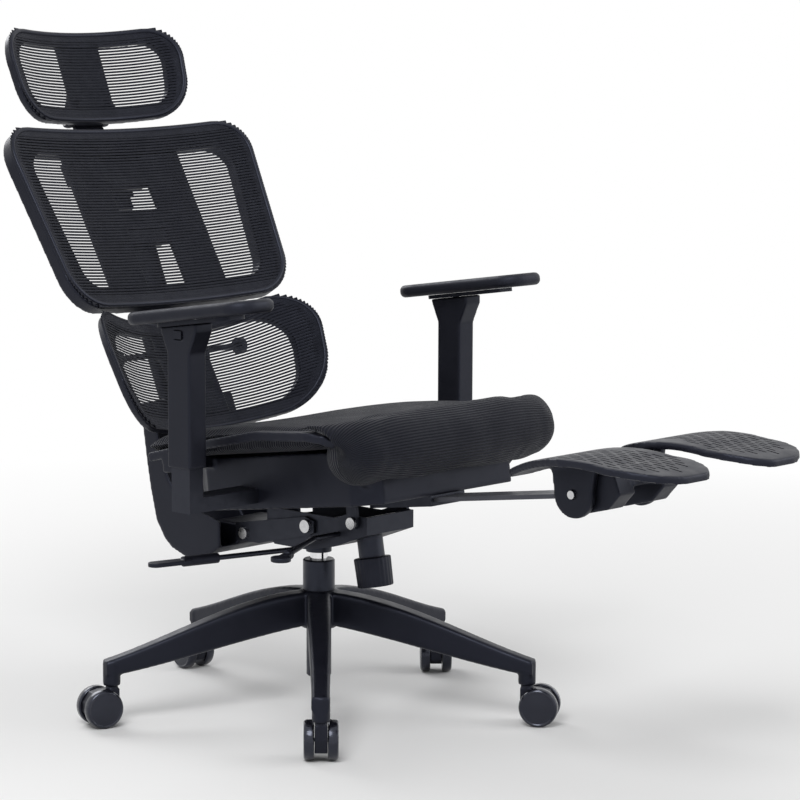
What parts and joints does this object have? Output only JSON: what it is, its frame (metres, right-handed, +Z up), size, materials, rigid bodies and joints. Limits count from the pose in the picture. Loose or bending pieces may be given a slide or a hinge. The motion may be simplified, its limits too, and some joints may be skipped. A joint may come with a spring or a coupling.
{
  "type": "reclining office chair with footrest",
  "caption": "Mesh-backed swivel office chair shown fully reclined, with headrest, lumbar panel, height-adjustable arms, castered star base and a slide-out folding footrest.",
  "frame": {"origin": "On the swivel axis at floor level, where the casters stand", "axes": "+X to the sitter's left, along the wheel base's width; +Y to the rear, the sitter faces -Y; +Z up, along the gas column"},
  "size_m": [0.7059, 1.3805, 1.0604],
  "materials": {
    "base_plastic": "satin moulded glass-filled nylon",
    "caster_plastic": "satin moulded nylon hood",
    "caster_tyre": "smooth polyurethane wheel",
    "bright_steel": "zinc plated, turned",
    "column_paint": "smooth black paint",
    "column_chrome": "hard chromed and polished",
    "mech_paint": "fine black powder coat",
    "knob_plastic": "satin moulding with grip",
    "shell_plastic": "fine-grained moulding",
    "mesh_weave": "open ladder weave of thick yarn bands",
    "seat_fabric": "fine knitted cover over moulded foam",
    "arm_steel": "satin black coat",
    "arm_plastic": "fine-grained moulding",
    "arm_pad_soft": "soft polyurethane skin foam",
    "rail_steel": "light grey coated flat steel",
    "footrest_plastic": "fine-grained moulding"
  },
  "bodies": {
    "base": {"base_star": "base_plastic", "gas_tube": "column_paint"},
    "caster_1": {"caster_1_hood": "caster_plastic", "caster_1_pins": "bright_steel"},
    "wheels_1": {"caster_1_wheels": "caster_tyre"},
    "caster_2": {"caster_2_hood": "caster_plastic", "caster_2_pins": "bright_steel"},
    "wheels_2": {"caster_2_wheels": "caster_tyre"},
    "caster_3": {"caster_3_hood": "caster_plastic", "caster_3_pins": "bright_steel"},
    "wheels_3": {"caster_3_wheels": "caster_tyre"},
    "caster_4": {"caster_4_hood": "caster_plastic", "caster_4_pins": "bright_steel"},
    "wheels_4": {"caster_4_wheels": "caster_tyre"},
    "caster_5": {"caster_5_hood": "caster_plastic", "caster_5_pins": "bright_steel"},
    "wheels_5": {"caster_5_wheels": "caster_tyre"},
    "column_rod": {"gas_piston": "column_chrome"},
    "mechanism": {"mech_housing": "mech_paint", "main_pivot_shaft": "bright_steel", "front_pivot_rod": "bright_steel", "tension_neck": "mech_paint"},
    "tension_knob": {"tension_knob": "knob_plastic"},
    "height_lever": {"height_lever_rod": "mech_paint", "height_lever_paddle": "knob_plastic"},
    "tilt_lever": {"tilt_lever_rod": "mech_paint", "tilt_lever_paddle": "knob_plastic"},
    "seat": {"seat_plate": "mech_paint", "seat_tray": "shell_plastic", "seat_cushion": "seat_fabric", "seat_bolts": "bright_steel", "rail_guide": "mech_paint", "arm_post_left": "arm_steel", "arm_post_right": "arm_steel"},
    "arm_left": {"arm_sleeve_left": "arm_plastic"},
    "button_left": {"height_button_left": "arm_plastic"},
    "carrier_left": {"pad_carrier_left": "arm_plastic"},
    "pad_left": {"arm_pad_left": "arm_pad_soft"},
    "arm_right": {"arm_sleeve_right": "arm_plastic"},
    "button_right": {"height_button_right": "arm_plastic"},
    "carrier_right": {"pad_carrier_right": "arm_plastic"},
    "pad_right": {"arm_pad_right": "arm_pad_soft"},
    "footrest_carriage": {"footrest_rail": "rail_steel", "footrest_shaft": "bright_steel"},
    "footrest": {"footrest_yoke": "footrest_plastic", "foot_pad_left": "footrest_plastic", "foot_pad_right": "footrest_plastic"},
    "back": {"back_carrier": "mech_paint", "back_spine": "shell_plastic", "spine_bolt": "bright_steel", "lumbar_rod": "bright_steel"},
    "lumbar": {"lumbar_frame": "shell_plastic", "lumbar_mesh": "mesh_weave"},
    "upper_back": {"upper_back_frame": "shell_plastic", "upper_back_mesh": "mesh_weave"},
    "head_post": {"headrest_post": "shell_plastic", "headrest_pin": "bright_steel"},
    "headrest": {"headrest_frame": "shell_plastic", "headrest_mesh": "mesh_weave"}
  },
  "joints": [
    {"name": "caster_1_swivel", "type": "hinge", "parent": "base", "child": "caster_1", "pos_m": [0.15104, -0.29902, 0.062], "axis": [0, 0, 1], "continuous": true},
    {"name": "caster_1_roll", "type": "hinge", "parent": "caster_1", "child": "wheels_1", "pos_m": [0.16173, -0.31592, 0.03], "axis": [0.8453, 0.5344, 0], "continuous": true},
    {"name": "caster_2_swivel", "type": "hinge", "parent": "base", "child": "caster_2", "pos_m": [0.33106, 0.05125, 0.062], "axis": [0, 0, 1], "continuous": true},
    {"name": "caster_2_roll", "type": "hinge", "parent": "caster_2", "child": "wheels_2", "pos_m": [0.31674, 0.03728, 0.03], "axis": [0.6984, -0.7157, 0], "continuous": true},
    {"name": "caster_3_swivel", "type": "hinge", "parent": "base", "child": "caster_3", "pos_m": [0.05356, 0.33069, 0.062], "axis": [0, 0, 1], "continuous": true},
    {"name": "caster_3_roll", "type": "hinge", "parent": "caster_3", "child": "wheels_3", "pos_m": [0.05659, 0.35046, 0.03], "axis": [-0.9885, 0.1513, 0], "continuous": true},
    {"name": "caster_4_swivel", "type": "hinge", "parent": "base", "child": "caster_4", "pos_m": [-0.29795, 0.15313, 0.062], "axis": [0, 0, 1], "continuous": true},
    {"name": "caster_4_roll", "type": "hinge", "parent": "caster_4", "child": "wheels_4", "pos_m": [-0.31685, 0.15967, 0.03], "axis": [-0.3272, -0.9449, 0], "continuous": true},
    {"name": "caster_5_swivel", "type": "hinge", "parent": "base", "child": "caster_5", "pos_m": [-0.23771, -0.23605, 0.062], "axis": [0, 0, 1], "continuous": true},
    {"name": "caster_5_roll", "type": "hinge", "parent": "caster_5", "child": "wheels_5", "pos_m": [-0.22339, -0.22208, 0.03], "axis": [-0.6984, 0.7157, 0], "continuous": true},
    {"name": "height_lift", "type": "slide", "parent": "base", "child": "column_rod", "axis": [0, 0, 1], "range_m": [0, 0.09]},
    {"name": "seat_swivel", "type": "hinge", "parent": "column_rod", "child": "mechanism", "pos_m": [0, 0, 0.3], "axis": [0, 0, 1], "continuous": true},
    {"name": "tension_turn", "type": "hinge", "parent": "mechanism", "child": "tension_knob", "pos_m": [0, -0.114, 0.257], "axis": [0, 0.1736, 0.9848], "continuous": true},
    {"name": "height_lever_lift", "type": "hinge", "parent": "mechanism", "child": "height_lever", "pos_m": [-0.052, -0.092, 0.296], "axis": [-1, 0, 0], "range_deg": [0, 8], "stiffness_Nm_per_rad": 1.5, "springref_deg": -6.88},
    {"name": "tilt_lever_turn", "type": "hinge", "parent": "mechanism", "child": "tilt_lever", "pos_m": [-0.052, -0.062, 0.287], "axis": [1, 0, 0], "range_deg": [0, 12]},
    {"name": "seat_tilt", "type": "hinge", "parent": "mechanism", "child": "seat", "pos_m": [0, -0.128, 0.318], "axis": [1, 0, 0], "range_deg": [0, 5]},
    {"name": "arm_height_left", "type": "slide", "parent": "seat", "child": "arm_left", "axis": [0, 0, 1], "range_m": [-0.03, 0.05]},
    {"name": "arm_button_left", "type": "slide", "parent": "arm_left", "child": "button_left", "axis": [-1, 0, 0], "range_m": [0, 0.002], "stiffness_N_per_m": 400, "springref_m": -0.002},
    {"name": "arm_swivel_left", "type": "hinge", "parent": "arm_left", "child": "carrier_left", "pos_m": [0.2975, -0.019, 0.63004], "axis": [0, -0.1392, -0.9903], "range_deg": [-15, 15]},
    {"name": "arm_pad_slide_left", "type": "slide", "parent": "carrier_left", "child": "pad_left", "axis": [0, -0.9903, 0.1392], "range_m": [-0.025, 0.025]},
    {"name": "arm_height_right", "type": "slide", "parent": "seat", "child": "arm_right", "axis": [0, 0, 1], "range_m": [-0.03, 0.05]},
    {"name": "arm_button_right", "type": "slide", "parent": "arm_right", "child": "button_right", "axis": [1, 0, 0], "range_m": [0, 0.002], "stiffness_N_per_m": 400, "springref_m": -0.002},
    {"name": "arm_swivel_right", "type": "hinge", "parent": "arm_right", "child": "carrier_right", "pos_m": [-0.2975, -0.019, 0.63004], "axis": [0, 0.1392, 0.9903], "range_deg": [-15, 15]},
    {"name": "arm_pad_slide_right", "type": "slide", "parent": "carrier_right", "child": "pad_right", "axis": [0, -0.9903, 0.1392], "range_m": [-0.025, 0.025]},
    {"name": "footrest_retract", "type": "slide", "parent": "seat", "child": "footrest_carriage", "axis": [0, 0.9903, -0.1392], "range_m": [0, 0.15]},
    {"name": "footrest_fold", "type": "hinge", "parent": "footrest_carriage", "child": "footrest", "pos_m": [0, -0.57059, 0.41656], "axis": [1, 0, 0], "range_deg": [0, 150]},
    {"name": "back_recline", "type": "hinge", "parent": "mechanism", "child": "back", "pos_m": [0, -0.029, 0.301], "axis": [1, 0, 0], "range_deg": [0, 20]},
    {"name": "lumbar_swing", "type": "hinge", "parent": "back", "child": "lumbar", "pos_m": [0, 0.317, 0.537], "axis": [1, 0, 0], "range_deg": [-4, 4]},
    {"name": "back_height", "type": "slide", "parent": "back", "child": "upper_back", "axis": [0, 0.3907, 0.9205], "range_m": [0, 0.05]},
    {"name": "headrest_height", "type": "slide", "parent": "upper_back", "child": "head_post", "axis": [0, 0.5, 0.866], "range_m": [0, 0.05]},
    {"name": "headrest_tilt", "type": "hinge", "parent": "head_post", "child": "headrest", "pos_m": [0, 0.54269, 0.9054], "axis": [1, 0, 0], "range_deg": [-20, 20]}
  ],
  "couplings": [
    {"joint": "seat_tilt", "follows": "back_recline", "ratio": 0.25}
  ]
}
